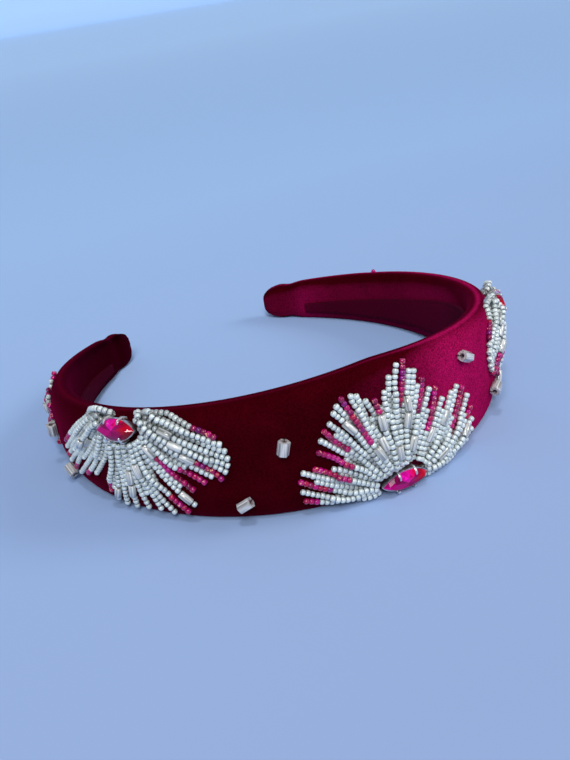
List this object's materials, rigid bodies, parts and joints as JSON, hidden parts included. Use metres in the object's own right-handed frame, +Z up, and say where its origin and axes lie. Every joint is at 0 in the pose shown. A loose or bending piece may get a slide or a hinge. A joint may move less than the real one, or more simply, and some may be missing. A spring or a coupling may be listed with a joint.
{
  "type": "beaded headband",
  "caption": "Padded velvet headband with fans of pearly seed beads round pink navette stones, and single clear tube beads.",
  "frame": {"origin": "middle of the footprint of the headband as it lies on its lower edge, level with that edge", "axes": "+Z up from the lower edge to the upper edge, -Y out of the front of the crown, +Y towards the two tips, +X to the right in front view"},
  "size_m": [0.1544, 0.1582, 0.0385],
  "materials": {
    "velvet": "burgundy velvet over padding, short pile with a magenta sheen",
    "lining": "burgundy velvet strip",
    "stone": "faceted pink glass in a silver claw setting",
    "pearl_beads": "pearly white seed beads with transparent pink ones at the tips and clear bugle beads",
    "clear_glass": "clear hexagonal glass tube"
  },
  "bodies": {
    "root": {"band": "velvet", "lining": "lining", "stone_left_arm": "stone", "fan_left_arm_first": "pearl_beads", "fan_left_arm_middle": "pearl_beads", "fan_left_arm_last": "pearl_beads", "stone_left": "stone", "fan_left_first": "pearl_beads", "fan_left_middle": "pearl_beads", "fan_left_last": "pearl_beads", "stone_crown": "stone", "fan_crown_first": "pearl_beads", "fan_crown_middle": "pearl_beads", "fan_crown_last": "pearl_beads", "stone_right": "stone", "fan_right_first": "pearl_beads", "fan_right_middle": "pearl_beads", "fan_right_last": "pearl_beads", "stone_right_arm": "stone", "fan_right_arm_first": "pearl_beads", "fan_right_arm_middle": "pearl_beads", "fan_right_arm_last": "pearl_beads", "tube_bead_1": "clear_glass", "tube_bead_2": "clear_glass", "tube_bead_3": "clear_glass", "tube_bead_4": "clear_glass", "tube_bead_5": "clear_glass", "tube_bead_6": "clear_glass", "tube_bead_7": "clear_glass", "tube_bead_8": "clear_glass"}
  },
  "joints": []
}
